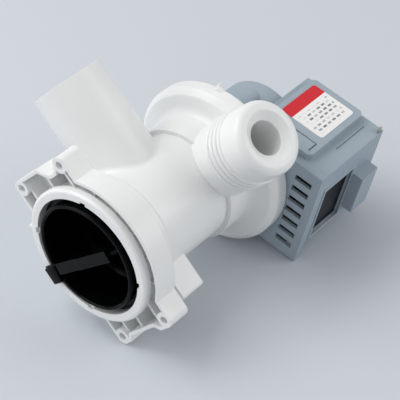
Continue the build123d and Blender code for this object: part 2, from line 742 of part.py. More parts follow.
with BuildPart() as motor_housing:
    # outside: barrel round the poles, box round the coils, label plateau
    with BuildSketch(motor_face(motor_front_y + endplate)):
        Circle(barrel_r)
    extrude(amount=motor_front_y + endplate - barrel_back_y)
    fillet(motor_housing.edges().filter_by(GeomType.CIRCLE).sort_by(Axis.Y)[-1], 3.0)
    with BuildSketch(motor_face(motor_front_y + endplate)):
        add(box_outline.sketch)
    extrude(amount=motor_front_y + endplate - motor_back_y)
    with BuildSketch(motor_top_face(motor_half)):
        with Locations(((plateau_u[0] + plateau_u[1]) / 2, (plateau_y[0] + plateau_y[1]) / 2)):
            Rectangle(plateau_u[1] - plateau_u[0], plateau_y[1] - plateau_y[0])
    extrude(amount=plateau_top - motor_half)
    tall = motor_housing.edges().filter_by(Axis((0, 0, 0), label_dir))
    plateau_mid = (motor_half + plateau_top) / 2
    chamfer(tall.filter_by_position(Axis((0, 0, 0), label_dir), plateau_mid - 0.2, plateau_mid + 0.2), 2.2)
    # boss along the barrel
    with BuildSketch(motor_face(motor_front_y + endplate)):
        with PolarLocations(barrel_r - 1.4, 1, start_angle=barrel_boss_angle):
            Circle(barrel_boss_r)
    extrude(amount=motor_front_y + endplate - barrel_boss_y)
    # plug shroud on the open side
    with BuildSketch(motor_side_face(motor_side - 1)):
        with Locations(((plug_y[0] + plug_y[1]) / 2, (plug_w[0] + plug_w[1]) / 2)):
            Rectangle(plug_y[1] - plug_y[0], plug_w[1] - plug_w[0])
    extrude(amount=plug_side - motor_side + 1)
    # hollow inside
    with BuildSketch(motor_face(motor_front_y + endplate)):
        Circle(barrel_r - motor_wall)
    extrude(amount=motor_front_y + endplate - barrel_back_y + motor_wall, mode=Mode.SUBTRACT)
    with BuildSketch(motor_face(motor_front_y + endplate)):
        offset(box_outline.sketch, amount=-motor_wall)
    extrude(amount=motor_front_y + endplate - motor_back_y + motor_wall, mode=Mode.SUBTRACT)
    with BuildSketch(motor_top_face(motor_half - motor_wall - 0.5)):
        with Locations(((plateau_u[0] + plateau_u[1]) / 2, (plateau_y[0] + plateau_y[1]) / 2)):
            Rectangle(
                plateau_u[1] - plateau_u[0] - 2 * motor_wall,
                plateau_y[1] - plateau_y[0] - 2 * motor_wall,
            )
    extrude(amount=plateau_top - motor_half + 0.5, mode=Mode.SUBTRACT)
    # rails that carry the yoke
    with BuildSketch(motor_face(stack_y[0])):
        with Locations((rail_u, (leg_w[1] + motor_half - 1) / 2)):
            Rectangle(rail_width, motor_half - 1 - leg_w[1])
        with Locations((rail_u, -(leg_w[1] + box_low - 1) / 2)):
            Rectangle(rail_width, box_low - 1 - leg_w[1])
    extrude(amount=stack_y[0] - motor_back_y + 1)
    # yoke window, plug cavity with blade pockets, tab pocket
    with BuildSketch(motor_side_face(motor_side - motor_wall - 0.2)):
        with Locations(((window_y[0] + window_y[1]) / 2, (window_w[0] + window_w[1]) / 2)):
            Rectangle(window_y[1] - window_y[0], window_w[1] - window_w[0])
    extrude(amount=motor_wall + 1, mode=Mode.SUBTRACT)
    with BuildSketch(motor_face(plug_y[0] + plug_base)):
        with Locations(((motor_side + plug_side) / 2, (plug_w[0] + plug_w[1]) / 2)):
            Rectangle(plug_side - motor_side - 1.6, plug_w[1] - plug_w[0] - 3)
    extrude(amount=plug_y[0] + plug_base - plug_y[1], mode=Mode.SUBTRACT)
    with BuildSketch(motor_face(blade_start_y)):
        with Locations(*[((motor_side + plug_side) / 2, w) for w in blade_w]):
            Rectangle(*blade)
    extrude(amount=blade_start_y - plug_y[1], mode=Mode.SUBTRACT)
    with BuildSketch(motor_top_face(tab_low_w)):
        with Locations((tab_u, tab_y)):
            Rectangle(blade[0], tab_width)
    extrude(amount=motor_half - tab_low_w + 1, mode=Mode.SUBTRACT)
    # snap tongue cut round its free edge, thin groove on the strip
    with BuildSketch(motor_top_face(plateau_top + 1)):
        with Locations(*[(u, (tongue_y[0] + tongue_y[1]) / 2) for u in tongue_u]):
            Rectangle(tongue_gap, tongue_y[1] - tongue_y[0])
        with Locations(((tongue_u[0] + tongue_u[1]) / 2, tongue_y[1])):
            Rectangle(tongue_u[1] - tongue_u[0] + tongue_gap, tongue_gap)
    extrude(amount=-1 - motor_wall - 0.5, mode=Mode.SUBTRACT)
    with BuildSketch(motor_top_face(motor_half)):
        with Locations((strip_groove_u, (strip_groove_y[0] + strip_groove_y[1]) / 2)):
            Rectangle(tongue_gap, strip_groove_y[1] - strip_groove_y[0])
    extrude(amount=-0.6, mode=Mode.SUBTRACT)

with BuildPart() as stator_yoke:
    with BuildSketch(motor_face(stack_y[0])):
        with Locations(((leg_end_u + yoke_u[1]) / 2, leg_mid_w), ((leg_end_u + yoke_u[1]) / 2, -leg_mid_w)):
            Rectangle(yoke_u[1] - leg_end_u, leg_w[1] - leg_w[0])
        with Locations(((yoke_u[0] + yoke_u[1]) / 2, 0)):
            Rectangle(yoke_u[1] - yoke_u[0], 2 * leg_w[1])
        Circle(pole_r, mode=Mode.SUBTRACT)
    extrude(amount=stack_y[0] - stack_y[1])

with BuildPart() as coil_bobbin_upper:
    with BuildSketch(motor_side_face(bobbin_u[0])):
        with Locations((leg_mid_y, leg_mid_w)):
            Rectangle(2 * tube_half_y, 2 * tube_half_w)
    extrude(amount=bobbin_u[1] - bobbin_u[0])
    with BuildSketch(motor_side_face(bobbin_u[0]), motor_side_face(bobbin_u[1] - bobbin_wall)):
        with Locations((leg_mid_y, leg_mid_w)):
            Rectangle(2 * (tube_half_y + cheek), 2 * (tube_half_w + cheek))
    extrude(amount=bobbin_wall)
    with BuildSketch(motor_side_face(bobbin_u[0] - 1)):
        with Locations((leg_mid_y, leg_mid_w)):
            Rectangle(2 * (tube_half_y - bobbin_wall), 2 * (tube_half_w - bobbin_wall))
    extrude(amount=bobbin_u[1] - bobbin_u[0] + 2, mode=Mode.SUBTRACT)

with BuildPart() as coil_bobbin_lower:
    add(coil_bobbin_upper.part.moved(Location(label_dir * (-2 * leg_mid_w))))

with BuildPart() as winding_upper:
    with BuildSketch(motor_side_face(bobbin_u[0] + bobbin_wall)):
        with Locations((leg_mid_y, leg_mid_w)):
            RectangleRounded(2 * (tube_half_y + winding_depth), 2 * (tube_half_w + winding_depth), 2.4)
            Rectangle(2 * tube_half_y, 2 * tube_half_w, mode=Mode.SUBTRACT)
    extrude(amount=bobbin_u[1] - bobbin_u[0] - 2 * bobbin_wall)

with BuildPart() as winding_lower:
    add(winding_upper.part.moved(Location(label_dir * (-2 * leg_mid_w))))

with BuildPart() as terminal_blades:
    with BuildSketch(motor_face(blade_start_y)):
        with Locations(*[((motor_side + plug_side) / 2, w) for w in blade_w]):
            Rectangle(*blade)
    extrude(amount=blade_start_y - blade_end_y)

with BuildPart() as earth_tab:
    with BuildSketch(motor_top_face(tab_low_w)):
        with Locations((tab_u, tab_y)):
            Rectangle(blade[0], tab_width)
    extrude(amount=tab_top_w - tab_low_w)

with BuildPart() as rating_label:
    with BuildSketch(motor_top_face(plateau_top)):
        with Locations(label_centre):
            RectangleRounded(*label_size, 1.8)
    extrude(amount=label_thickness)

pieces = {
    "filter_housing": filter_housing,
    "volute_housing": volute_housing,
    "filter_cap": filter_cap,
    "cap_seal": cap_seal,
    "filter_basket": filter_basket,
    "impeller": impeller,
    "hub_plug": hub_plug,
    "drive_dog": drive_dog,
    "rotor_shaft": rotor_shaft,
    "rotor_sleeve": rotor_sleeve,
    "rotor_magnet": rotor_magnet,
    "thrust_washer_front": thrust_washer_front,
    "thrust_washer_rear": thrust_washer_rear,
    "front_bearing": front_bearing,
    "rear_bearing": rear_bearing,
    "shaft_seal": shaft_seal,
    "bearing_carrier": bearing_carrier,
    "rotor_can": rotor_can,
    "volute_seal": volute_seal,
    "motor_endplate": motor_endplate,
    "motor_housing": motor_housing,
    "stator_yoke": stator_yoke,
    "coil_bobbin_upper": coil_bobbin_upper,
    "coil_bobbin_lower": coil_bobbin_lower,
    "winding_upper": winding_upper,
    "winding_lower": winding_lower,
    "terminal_blades": terminal_blades,
    "earth_tab": earth_tab,
    "rating_label": rating_label,
}
for label, piece in pieces.items():
    piece.part.label = label
    export_step(piece.part, f"parts/{label}.step")
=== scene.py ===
"""Looks for a washing machine drain pump: finishes, small moulded details, light, floor and camera."""

import logging
import math
from dataclasses import dataclass
from enum import Enum

import bmesh
import bpy
from mathutils import Matrix, Vector


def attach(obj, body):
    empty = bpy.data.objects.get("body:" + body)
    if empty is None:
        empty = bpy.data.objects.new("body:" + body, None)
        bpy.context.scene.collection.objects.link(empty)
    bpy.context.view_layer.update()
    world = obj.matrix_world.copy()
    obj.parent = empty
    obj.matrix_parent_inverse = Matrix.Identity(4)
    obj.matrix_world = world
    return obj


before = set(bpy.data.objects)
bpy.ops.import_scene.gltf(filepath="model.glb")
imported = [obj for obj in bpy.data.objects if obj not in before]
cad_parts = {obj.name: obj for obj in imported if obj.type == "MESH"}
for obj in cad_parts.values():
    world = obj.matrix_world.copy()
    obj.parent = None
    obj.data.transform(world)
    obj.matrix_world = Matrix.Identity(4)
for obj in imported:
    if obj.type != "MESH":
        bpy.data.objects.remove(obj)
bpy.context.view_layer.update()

LOG = logging.getLogger("drain_pump")
MM = 0.001
SHAFT = Vector((0.0, 1.0, 0.0))
# the wave texture runs through this many radians per metre at a scale of 1
WAVE_RATE = 20.0
# places of the two colours on a colour mix, whose sockets share their names with those for numbers
MIX_FIRST = 6
MIX_SECOND = 7
MIX_RESULT = 2

Socket = bpy.types.NodeSocket
Point = tuple[float, float, float]
Span = tuple[float, float]


class Body(Enum):
    """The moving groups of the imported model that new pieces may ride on."""

    PUMP = "pump_body"
    FILTER = "filter"


class Slot(Enum):
    """The record's material slots named for new pieces; each piece's finish is given with it, not read from
    the slot.
    """

    WHITE = "white_pp"
    BLACK = "black_cap"
    GREY = "grey_plastic"


class Pattern(Enum):
    """The axis of the row frame that the fine lines of a finish follow each other along."""

    ALONG_SHAFT = "Y"
    ACROSS_X = "X"


def srgb(hex_colour: str) -> tuple[float, float, float, float]:
    """Turns an sRGB hex value into a linear colour.

    Args:
        hex_colour: six hex digits with a leading hash.

    Returns:
        Linear red, green, blue and an alpha of 1.
    """
    channels = [int(hex_colour[k : k + 2], 16) / 255.0 for k in (1, 3, 5)]
    linear = [c / 12.92 if c <= 0.04045 else ((c + 0.055) / 1.055) ** 2.4 for c in channels]
    return (linear[0], linear[1], linear[2], 1.0)


def per_metre(size_mm: float) -> float:
    """Texture scale that gives one feature in every size_mm."""
    return 1000.0 / size_mm


def add_node(
    tree: bpy.types.NodeTree,
    kind: str,
    settings: dict[str, object] | None = None,
    values: dict[str | int, object] | None = None,
    links: dict[str | int, Socket] | None = None,
) -> bpy.types.Node:
    """Adds one shader node with its settings, socket values and links.

    Args:
        tree: node tree of the material or world.
        kind: Blender's name for the node type.
        settings: attributes of the node itself.
        values: default values of input sockets, by socket name or number.
        links: output sockets to join to input sockets, by socket name or number.

    Returns:
        The new node.
    """
    node = tree.nodes.new(kind)
    for name, value in (settings or {}).items():
        setattr(node, name, value)
    for name, value in (values or {}).items():
        node.inputs[name].default_value = value
    for name, socket in (links or {}).items():
        tree.links.new(socket, node.inputs[name])
    return node


@dataclass(frozen=True)
class Finish:
    """What every finish shares: a name, a colour and how it meets the light."""

    name: str
    colour: str
    roughness: float
    ior: float = 1.49
    specular: float = 0.5

    def shader(self, material: bpy.types.Material) -> bpy.types.Node:
        """Gives the material's surface shader with the plain values set.

        Args:
            material: new material with nodes switched on.

        Returns:
            The Principled shader node.
        """
        surface = material.node_tree.nodes["Principled BSDF"]
        surface.inputs["Base Color"].default_value = srgb(self.colour)
        surface.inputs["Roughness"].default_value = self.roughness
        surface.inputs["IOR"].default_value = self.ior
        surface.inputs["Specular IOR Level"].default_value = self.specular
        return surface

    def detail(self, tree: bpy.types.NodeTree, surface: bpy.types.Node) -> None:
        """Adds the pattern of this finish to its shader."""

    def build(self) -> bpy.types.Material:
        """Makes the material.

        Returns:
            The finished material.
        """
        material = bpy.data.materials.new(self.name)
        material.use_nodes = True
        surface = self.shader(material)
        self.detail(material.node_tree, surface)
        return material


@dataclass(frozen=True)
class MouldedPlastic(Finish):
    """Injection moulded plastic: faint flow mottle, orange peel from the mould, soft edges."""

    mottle: str = "#FFFFFF"
    mottle_mm: float = 22.0
    mottle_detail: float = 3.0
    peel_mm: float = 1.2
    peel_depth_mm: float = 0.02
    peel_detail: float = 2.0
    peel_strength: float = 0.5
    edge_mm: float = 0.35
    edge_samples: int = 6
    glow: float = 0.0
    glow_mm: float = 1.5
    glow_reach: Point = (1.0, 0.95, 0.9)
    gloss_swing: float = 0.08

    def detail(self, tree: bpy.types.NodeTree, surface: bpy.types.Node) -> None:
        """Adds mottle, uneven gloss, orange peel and rounded edges.

        Args:
            tree: node tree of the material.
            surface: its Principled shader.
        """
        place = add_node(tree, "ShaderNodeTexCoord").outputs["Object"]
        flow = add_node(
            tree,
            "ShaderNodeTexNoise",
            values={"Scale": per_metre(self.mottle_mm), "Detail": self.mottle_detail},
            links={"Vector": place},
        )
        tint = add_node(
            tree,
            "ShaderNodeMix",
            settings={"data_type": "RGBA"},
            values={MIX_FIRST: srgb(self.colour), MIX_SECOND: srgb(self.mottle)},
            links={"Factor": flow.outputs["Fac"]},
        )
        tree.links.new(tint.outputs[MIX_RESULT], surface.inputs["Base Color"])
        half = self.gloss_swing / 2
        swing = add_node(
            tree,
            "ShaderNodeMapRange",
            values={"To Min": self.roughness - half, "To Max": self.roughness + half},
            links={"Value": flow.outputs["Fac"]},
        )
        tree.links.new(swing.outputs["Result"], surface.inputs["Roughness"])
        peel = add_node(
            tree,
            "ShaderNodeTexNoise",
            values={"Scale": per_metre(self.peel_mm), "Detail": self.peel_detail},
            links={"Vector": place},
        )
        edge = add_node(
            tree,
            "ShaderNodeBevel",
            settings={"samples": self.edge_samples},
            values={"Radius": self.edge_mm * MM},
        )
        bump = add_node(
            tree,
            "ShaderNodeBump",
            values={"Strength": self.peel_strength, "Distance": self.peel_depth_mm * MM},
            links={"Height": peel.outputs["Fac"], "Normal": edge.outputs["Normal"]},
        )
        tree.links.new(bump.outputs["Normal"], surface.inputs["Normal"])
        if self.glow > 0.0:
            surface.inputs["Subsurface Weight"].default_value = self.glow
            surface.inputs["Subsurface Radius"].default_value = self.glow_reach
            surface.inputs["Subsurface Scale"].default_value = self.glow_mm * MM


@dataclass(frozen=True)
class WornMetal(Finish):
    """Bare or oxidised metal: cloudy tone and fine lines left by grinding, stamping or winding."""

    ior: float = 1.5
    second: str = "#FFFFFF"
    metallic: float = 1.0
    cloud_mm: float = 4.0
    cloud_detail: float = 4.0
    line_mm: float = 0.5
    line_depth_mm: float = 0.02
    line_waver: float = 0.6
    line_detail: float = 1.0
    line_strength: float = 0.7
    lines: Pattern = Pattern.ALONG_SHAFT

    def detail(self, tree: bpy.types.NodeTree, surface: bpy.types.Node) -> None:
        """Adds clouds and lines; line_mm is the width of a line and also of the gap beside it.

        Args:
            tree: node tree of the material.
            surface: its Principled shader.
        """
        surface.inputs["Metallic"].default_value = self.metallic
        place = add_node(tree, "ShaderNodeTexCoord").outputs["Object"]
        cloud = add_node(
            tree,
            "ShaderNodeTexNoise",
            values={"Scale": per_metre(self.cloud_mm), "Detail": self.cloud_detail},
            links={"Vector": place},
        )
        tint = add_node(
            tree,
            "ShaderNodeMix",
            settings={"data_type": "RGBA"},
            values={MIX_FIRST: srgb(self.colour), MIX_SECOND: srgb(self.second)},
            links={"Factor": cloud.outputs["Fac"]},
        )
        tree.links.new(tint.outputs[MIX_RESULT], surface.inputs["Base Color"])
        lines = add_node(
            tree,
            "ShaderNodeTexWave",
            settings={"wave_type": "BANDS", "bands_direction": self.lines.value},
            values={
                "Scale": per_metre(self.line_mm) / WAVE_RATE * math.pi,
                "Distortion": self.line_waver,
                "Detail": self.line_detail,
            },
            links={"Vector": place},
        )
        bump = add_node(
            tree,
            "ShaderNodeBump",
            values={"Strength": self.line_strength, "Distance": self.line_depth_mm * MM},
            links={"Height": lines.outputs["Fac"]},
        )
        tree.links.new(bump.outputs["Normal"], surface.inputs["Normal"])


# natural white polypropylene, injection moulded: milky, half gloss, light sinks a little way into it
WHITE_POLYPROPYLENE = MouldedPlastic(
    "white polypropylene, moulded",
    "#EBEDED",
    0.33,
    mottle="#F1F2F1",
    glow=0.12,
    glow_mm=2.0,
    peel_depth_mm=0.012,
)
# black polypropylene from a polished mould: deep black with narrow, weak highlights
BLACK_POLYPROPYLENE = MouldedPlastic(
    "black polypropylene, polished mould",
    "#040506",
    0.16,
    specular=0.09,
    mottle="#07080A",
    peel_depth_mm=0.006,
    gloss_swing=0.06,
)
# blue-grey glass-filled polyester: satin with a dry, slightly mottled skin
GREY_POLYESTER = MouldedPlastic(
    "grey glass-filled polyester, moulded",
    "#98A6B1",
    0.5,
    ior=1.57,
    mottle="#A2AFB9",
    mottle_mm=9.0,
    peel_mm=0.7,
    peel_depth_mm=0.03,
    gloss_swing=0.12,
)
# dark grey polyester of the rotor can: satin
DARK_POLYESTER = MouldedPlastic(
    "dark polyester, moulded", "#565C61", 0.48, ior=1.57, mottle="#61676C", mottle_mm=8.0, peel_depth_mm=0.02
)
# unfilled natural acetal of the impeller and the magnet's sleeve: creamy and waxy
NATURAL_ACETAL = MouldedPlastic(
    "natural acetal, moulded", "#DAD8CC", 0.34, ior=1.48, mottle="#E2E0D5", glow=0.1, glow_mm=1.5
)
# black nylon of the basket, the dog and the bobbins: plain satin
BLACK_NYLON = MouldedPlastic(
    "black nylon, moulded", "#1A1B1D", 0.42, ior=1.53, mottle="#222325", peel_depth_mm=0.02
)
# black nitrile rubber, pressed: dull with a bloom
NITRILE_RUBBER = MouldedPlastic(
    "black nitrile rubber, pressed",
    "#191919",
    0.62,
    ior=1.52,
    mottle="#242424",
    mottle_mm=5.0,
    peel_mm=0.5,
    peel_depth_mm=0.03,
)
# stainless steel shaft, ground round: bright, with grinding rings drawn 0.8 mm apart so that they show
GROUND_STEEL = WornMetal(
    "stainless steel, ground", "#C6C7C9", 0.24, second="#D2D3D4", line_mm=0.4, line_depth_mm=0.004
)
# electrical steel sheets, stamped and stacked with a dark oxide: the sheets' edges show as lines, drawn
# 1.8 mm apart so that they show
SHEET_STACK = WornMetal(
    "electrical steel sheets, stamped",
    "#2E2F33",
    0.5,
    second="#3E3F44",
    metallic=0.75,
    cloud_mm=7.0,
    line_mm=0.9,
    line_depth_mm=0.12,
)
# ferrite magnet, sintered and ground: charcoal with a faint sheen
SINTERED_FERRITE = WornMetal(
    "ferrite, sintered", "#2B2B2E", 0.46, second="#37373A", metallic=0.5, line_mm=0.6, line_depth_mm=0.006
)
# bronze bearing bush, sintered: open grain, oily
SINTERED_BRONZE = WornMetal(
    "bronze, sintered", "#9A7444", 0.42, second="#AE8752", cloud_mm=0.8, line_mm=0.5, line_depth_mm=0.01
)
# enamelled copper wire, machine wound: warm red-brown, rows of wire drawn 1 mm apart so that they show
WOUND_COPPER = WornMetal(
    "enamelled copper wire, wound",
    "#8A4320",
    0.3,
    second="#A8572C",
    cloud_mm=3.0,
    line_mm=0.5,
    line_depth_mm=0.1,
    lines=Pattern.ACROSS_X,
)
# brass strip with a tin coat, stamped: pale and half bright
TINNED_BRASS = WornMetal(
    "tinned brass, stamped", "#BDB9AC", 0.3, second="#CFCCC2", cloud_mm=1.5, line_mm=0.7, line_depth_mm=0.004
)


@dataclass(frozen=True)
class PrintedFilm(Finish):
    """White label film with a red band along one edge and rows of plain grey strokes."""

    band: str = "#D3232F"
    ink: str = "#6E7178"
    centre_mm: Point = (0.0, 0.0, 0.0)
    across: Point = (1.0, 0.0, 0.0)
    width_mm: float = 27.0
    length_mm: float = 29.0
    band_mm: float = 7.3
    margin_mm: float = 2.2
    # the stroke, the row and the gap are shares of this length
    unit_mm: float = 6.4
    stroke: float = 0.62
    row: float = 0.41
    gap: float = 0.125
    gap_blur: float = 0.2
    row_shift: float = 0.37

    def detail(self, tree: bpy.types.NodeTree, surface: bpy.types.Node) -> None:
        """Adds the band and the strokes in the label's own directions.

        Args:
            tree: node tree of the material.
            surface: its Principled shader.
        """
        place = add_node(tree, "ShaderNodeTexCoord").outputs["Object"]
        shift = add_node(
            tree,
            "ShaderNodeVectorMath",
            settings={"operation": "SUBTRACT"},
            values={1: Vector(self.centre_mm) * MM},
            links={0: place},
        )
        along = add_node(
            tree,
            "ShaderNodeVectorMath",
            settings={"operation": "DOT_PRODUCT"},
            values={1: Vector(self.across)},
            links={0: shift.outputs["Vector"]},
        )
        split = add_node(tree, "ShaderNodeSeparateXYZ", links={"Vector": shift.outputs["Vector"]})
        in_mm, in_units = [], []
        for metres in (along.outputs["Value"], split.outputs["Y"]):
            scaled = add_node(
                tree,
                "ShaderNodeMath",
                settings={"operation": "MULTIPLY"},
                values={1: 1.0 / MM},
                links={0: metres},
            )
            shared = add_node(
                tree,
                "ShaderNodeMath",
                settings={"operation": "DIVIDE"},
                values={1: self.unit_mm},
                links={0: scaled.outputs["Value"]},
            )
            in_mm.append(scaled.outputs["Value"])
            in_units.append(shared.outputs["Value"])
        across_mm, down_mm = in_mm
        flat = add_node(tree, "ShaderNodeCombineXYZ", links={"X": in_units[1], "Y": in_units[0]})
        strokes = add_node(
            tree,
            "ShaderNodeTexBrick",
            settings={"offset": self.row_shift, "offset_frequency": 2, "squash": 1.0},
            values={
                "Scale": 1.0,
                "Mortar Size": self.gap,
                "Mortar Smooth": self.gap_blur,
                "Bias": 0.0,
                "Brick Width": self.stroke,
                "Row Height": self.row,
                "Color1": srgb(self.ink),
                "Color2": srgb(self.colour),
                "Mortar": srgb(self.colour),
            },
            links={"Vector": flat.outputs["Vector"]},
        )
        band_end = self.band_mm - self.width_mm / 2
        edges = (
            ("GREATER_THAN", across_mm, band_end + self.margin_mm),
            ("LESS_THAN", across_mm, self.width_mm / 2 - self.margin_mm),
            ("GREATER_THAN", down_mm, self.margin_mm - self.length_mm / 2),
            ("LESS_THAN", down_mm, self.length_mm / 2 - self.margin_mm),
        )
        printed: Socket | None = None
        for operation, value, limit in edges:
            test = add_node(
                tree,
                "ShaderNodeMath",
                settings={"operation": operation},
                values={1: limit},
                links={0: value},
            )
            if printed is not None:
                test = add_node(
                    tree,
                    "ShaderNodeMath",
                    settings={"operation": "MULTIPLY"},
                    links={0: printed, 1: test.outputs["Value"]},
                )
            printed = test.outputs["Value"]
        paper = add_node(
            tree,
            "ShaderNodeMix",
            settings={"data_type": "RGBA"},
            values={MIX_FIRST: srgb(self.colour)},
            links={"Factor": printed, MIX_SECOND: strokes.outputs["Color"]},
        )
        in_band = add_node(
            tree,
            "ShaderNodeMath",
            settings={"operation": "LESS_THAN"},
            values={1: band_end},
            links={0: across_mm},
        )
        paint = add_node(
            tree,
            "ShaderNodeMix",
            settings={"data_type": "RGBA"},
            values={MIX_SECOND: srgb(self.band)},
            links={"Factor": in_band.outputs["Value"], MIX_FIRST: paper.outputs[MIX_RESULT]},
        )
        tree.links.new(paint.outputs[MIX_RESULT], surface.inputs["Base Color"])


@dataclass
class PhotoCamera:
    """Camera at the photograph's viewing angle, for a square picture of 400 pixels."""

    place_mm: Point = (388.2, -386.8, 478.9)
    right: Point = (0.775, 0.632, -0.007)
    back: Point = (0.493, -0.598, 0.633)
    focal_px: float = 1475.0
    picture_px: float = 400.0
    sensor_mm: float = 36.0
    nearest_m: float = 0.01
    farthest_m: float = 20.0

    def build(self) -> bpy.types.Object:
        """Makes the camera and sets it as the scene's camera.

        Returns:
            The camera object.
        """
        back = Vector(self.back).normalized()
        right = (Vector(self.right) - Vector(self.right).dot(back) * back).normalized()
        turn = Matrix((right, back.cross(right), back)).transposed().to_4x4()
        data = bpy.data.cameras.new("photo_camera")
        data.sensor_width = self.sensor_mm
        data.sensor_fit = "HORIZONTAL"
        data.lens = self.focal_px / self.picture_px * self.sensor_mm
        data.clip_start = self.nearest_m
        data.clip_end = self.farthest_m
        camera = bpy.data.objects.new("photo_camera", data)
        camera.matrix_world = Matrix.Translation(Vector(self.place_mm) * MM) @ turn
        bpy.context.collection.objects.link(camera)
        bpy.context.scene.camera = camera
        return camera


@dataclass(frozen=True)
class Lamp:
    """One square soft lamp: its name, place and side in metres, and power in watts."""

    name: str
    place: Point
    side: float
    watts: float

    def build(self, aim_at: Point) -> bpy.types.Object:
        """Makes the lamp and turns it to the pump.

        Args:
            aim_at: point in metres that the lamp faces.

        Returns:
            The lamp.
        """
        data = bpy.data.lights.new(self.name, "AREA")
        data.shape = "SQUARE"
        data.size = self.side
        data.energy = self.watts
        lamp = bpy.data.objects.new(self.name, data)
        aim = Vector(aim_at) - Vector(self.place)
        turn = aim.to_track_quat("-Z", "Y").to_matrix().to_4x4()
        lamp.matrix_world = Matrix.Translation(Vector(self.place)) @ turn
        bpy.context.collection.objects.link(lamp)
        return lamp


@dataclass
class Studio:
    """Pale floor under the three points that the pump lies on, soft lamps and an even sky."""

    rests_on_mm: tuple[Point, Point, Point] = ((17.7, 12.7, -50.6), (0.0, 98.7, -45.8), (51.3, 105.1, -46.1))
    floor_half: float = 3.0
    floor_colour: str = "#CBD0D7"
    floor_roughness: float = 0.9
    sky: float = 0.5
    sky_colour: str = "#FFFFFF"
    aim_at: Point = (0.0, 0.07, 0.0)
    lamps: tuple[Lamp, ...] = (
        Lamp("key_lamp", (-0.6, -0.25, 1.05), 0.8, 7.6),
        Lamp("fill_lamp", (-0.9, -0.9, 0.5), 0.9, 4.6),
        Lamp("rim_lamp", (0.9, 0.6, 0.5), 0.6, 3.0),
    )

    def floor(self) -> bpy.types.Object:
        """Lays the floor through the three contact points.

        Returns:
            The floor object.
        """
        first, second, third = (Vector(p) * MM for p in self.rests_on_mm)
        up = (second - first).cross(third - first).normalized()
        up = up if up.z > 0 else -up
        mesh = bpy.data.meshes.new("floor")
        shape = bmesh.new()
        bmesh.ops.create_grid(shape, x_segments=1, y_segments=1, size=self.floor_half)
        shape.to_mesh(mesh)
        shape.free()
        floor = bpy.data.objects.new("floor", mesh)
        floor.matrix_world = Matrix.Translation(first) @ up.to_track_quat("Z", "Y").to_matrix().to_4x4()
        bpy.context.collection.objects.link(floor)
        # uncoated paper: matt, so that it shows the pump's shadow and no highlight
        paper = Finish("pale paper floor", self.floor_colour, self.floor_roughness).build()
        mesh.materials.append(paper)
        return floor

    def build(self) -> None:
        """Makes floor, lamps, sky and colour settings."""
        self.floor()
        for lamp in self.lamps:
            lamp.build(self.aim_at)
        scene = bpy.context.scene
        scene.world = scene.world or bpy.data.worlds.new("sky")
        scene.world.use_nodes = True
        sky = scene.world.node_tree.nodes["Background"]
        sky.inputs["Color"].default_value = srgb(self.sky_colour)
        sky.inputs["Strength"].default_value = self.sky
        scene.view_settings.view_transform = "Standard"


def polar(radius_mm: float, angle: float, y_mm: float) -> Vector:
    """Point round the shaft.

    Args:
        radius_mm: distance from the shaft.
        angle: degrees from +X towards +Z.
        y_mm: place along the shaft.

    Returns:
        The point in metres.
    """
    turn = math.radians(angle)
    return Vector((radius_mm * math.cos(turn), y_mm, radius_mm * math.sin(turn))) * MM


@dataclass(frozen=True)
class Rolled:
    """A pair of directions across the shaft, rolled from the row's axes."""

    side: Vector
    up: Vector

    def at(self, side_mm: float, up_mm: float, y_mm: float) -> Vector:
        """Point given along the rolled directions.

        Args:
            side_mm: distance along the first direction.
            up_mm: distance along the second direction.
            y_mm: place along the shaft.

        Returns:
            The point in metres.
        """
        return (self.side * side_mm + self.up * up_mm + SHAFT * y_mm) * MM


def rolled(side_angle: float) -> Rolled:
    """Directions whose first one stands at an angle from +X towards +Z.

    Args:
        side_angle: that angle in degrees.

    Returns:
        The two directions.
    """
    turn = math.radians(side_angle)
    side = Vector((math.cos(turn), 0.0, math.sin(turn)))
    return Rolled(side, Vector((-side.z, 0.0, side.x)))


PORTS = rolled(45.0)
MOTOR = rolled(-13.9)
GRIP = rolled(39.0)


@dataclass(frozen=True)
class Moulding:
    """One small moulded piece: where it rides and what it is made of."""

    name: str
    body: Body
    slot: Slot
    finish: Finish
    crease_angle: float = 38.0

    def place(self, shape: bmesh.types.BMesh) -> bpy.types.Object:
        """Turns a finished shape into a piece that rides on its body.

        Args:
            shape: mesh in the row frame, in metres; it is freed.

        Returns:
            The piece.
        """
        bmesh.ops.recalc_face_normals(shape, faces=shape.faces)
        mesh = bpy.data.meshes.new(self.name)
        shape.to_mesh(mesh)
        shape.free()
        for polygon in mesh.polygons:
            polygon.use_smooth = True
        mesh.set_sharp_from_angle(angle=math.radians(self.crease_angle))
        mesh.materials.append(bpy.data.materials.get(self.finish.name) or self.finish.build())
        piece = bpy.data.objects.new(self.name, mesh)
        bpy.context.collection.objects.link(piece)
        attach(piece, self.body.value)
        LOG.info("%s rides on %s", self.name, self.body.value)
        return piece


def lathe(
    shape: bmesh.types.BMesh, profile: list[Vector], centre: Vector, axis: Vector, steps: int = 72
) -> None:
    """Turns a profile round an axis and adds the skin to a shape.

    Args:
        shape: mesh that takes the skin.
        profile: points in metres, in a half-plane through the axis; a ring ends on its first point.
        centre: point on the axis.
        axis: direction of the axis.
        steps: number of facets round the axis.
    """
    points = [shape.verts.new(point) for point in profile]
    edges = [shape.edges.new(pair) for pair in zip(points, points[1:])]
    bmesh.ops.spin(
        shape, geom=points + edges, cent=centre, axis=axis, dvec=(0.0, 0.0, 0.0), angle=math.tau, steps=steps
    )
    bmesh.ops.remove_doubles(shape, verts=shape.verts, dist=MM * MM)


